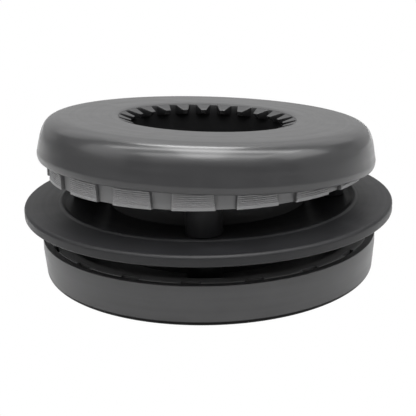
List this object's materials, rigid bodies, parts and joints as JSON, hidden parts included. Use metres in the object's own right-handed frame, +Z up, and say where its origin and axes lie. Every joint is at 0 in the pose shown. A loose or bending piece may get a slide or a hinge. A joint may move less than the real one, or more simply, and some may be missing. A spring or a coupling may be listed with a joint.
{
  "type": "desk grommet",
  "caption": "Round desk grommet with a domed cap and a crown of flexible fingers, ribbed collars on posts each side of a flange, and a bowl-shaped lower cap.",
  "frame": {"origin": "centre of the lower cap's flat base, on the grommet's vertical axis", "axes": "+Z up along the grommet's axis towards the domed cap, -Y towards the side seen from the front, +X to the right"},
  "size_m": [0.086, 0.086, 0.038],
  "materials": {
    "cap_plastic": "satin moulded, dark grey",
    "finger_rubber": "flexible, dark grey",
    "collar_plastic": "moulded, dark grey, fine ridges",
    "flange_plastic": "satin moulded, charcoal",
    "post_plastic": "satin moulded, charcoal",
    "sleeve_plastic": "moulded, near black",
    "zinc_steel": "zinc plated"
  },
  "bodies": {
    "core": {"flange_plate": "flange_plastic", "upper_collar": "collar_plastic", "lower_collar": "collar_plastic", "cable_sleeve": "sleeve_plastic", "through_screws": "zinc_steel", "lock_nuts": "zinc_steel", "upper_post_front": "post_plastic", "upper_post_right": "post_plastic", "upper_post_back": "post_plastic", "upper_post_left": "post_plastic", "lower_post_front": "post_plastic", "lower_post_right": "post_plastic", "lower_post_back": "post_plastic", "lower_post_left": "post_plastic"},
    "top_cap": {"top_cap_shell": "cap_plastic", "finger_crown": "finger_rubber"},
    "bowl": {"lower_cap": "cap_plastic"}
  },
  "joints": [
    {"name": "top_cap_tilt", "type": "hinge", "parent": "core", "child": "top_cap", "pos_m": [0.02432, 0.02432, 0.02955], "axis": [-0.7071, 0.7071, 0], "range_deg": [-4, 0]},
    {"name": "lower_cap_slide", "type": "slide", "parent": "core", "child": "bowl", "axis": [0, 0, 1], "range_m": [-0.006, 0]}
  ]
}
